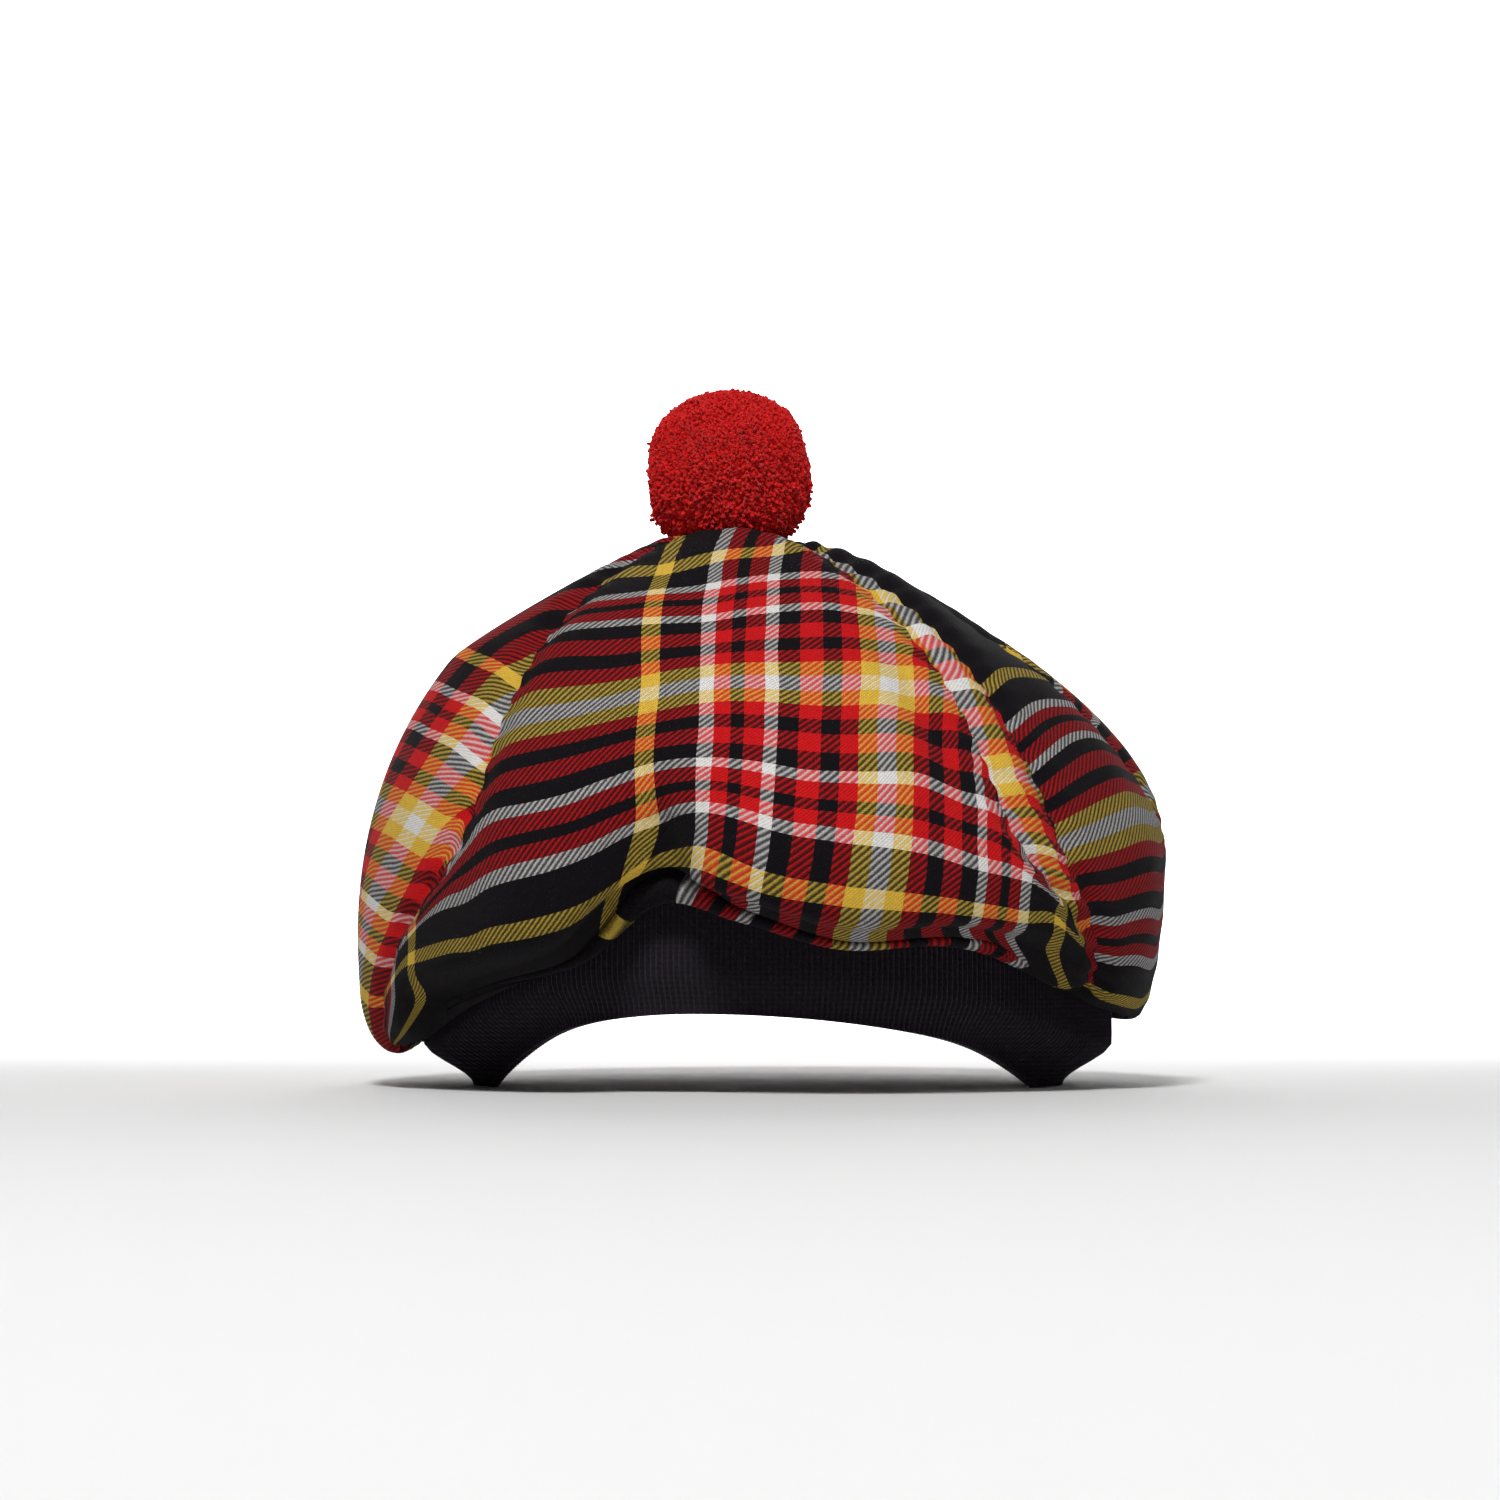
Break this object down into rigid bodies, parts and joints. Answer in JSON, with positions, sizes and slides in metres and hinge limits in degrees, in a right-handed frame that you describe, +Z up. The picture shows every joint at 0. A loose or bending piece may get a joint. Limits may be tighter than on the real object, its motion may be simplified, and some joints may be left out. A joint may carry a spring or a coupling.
{
  "type": "tam o shanter",
  "caption": "Soft tartan tam o shanter: six cloth gores and a narrow strip, gathered onto a ribbed black headband, with a red pompom on top.",
  "frame": {"origin": "under the middle of the whole cap, on the surface that the headband rests on", "axes": "+Z up, -Y towards the front of the cap, +X towards its left ear as worn"},
  "size_m": [0.2276, 0.2436, 0.1967],
  "materials": {
    "tartan_cloth": "brushed wool twill in red, black, white and yellow",
    "rib_knit": "black fine-ribbed knit",
    "pompom_yarn": "red cut yarn"
  },
  "bodies": {
    "root": {"gore_front": "tartan_cloth", "side_strip": "tartan_cloth", "gore_right": "tartan_cloth", "gore_rear_right": "tartan_cloth", "gore_rear": "tartan_cloth", "gore_rear_left": "tartan_cloth", "gore_left": "tartan_cloth", "headband": "rib_knit", "pompom": "pompom_yarn"}
  },
  "joints": []
}
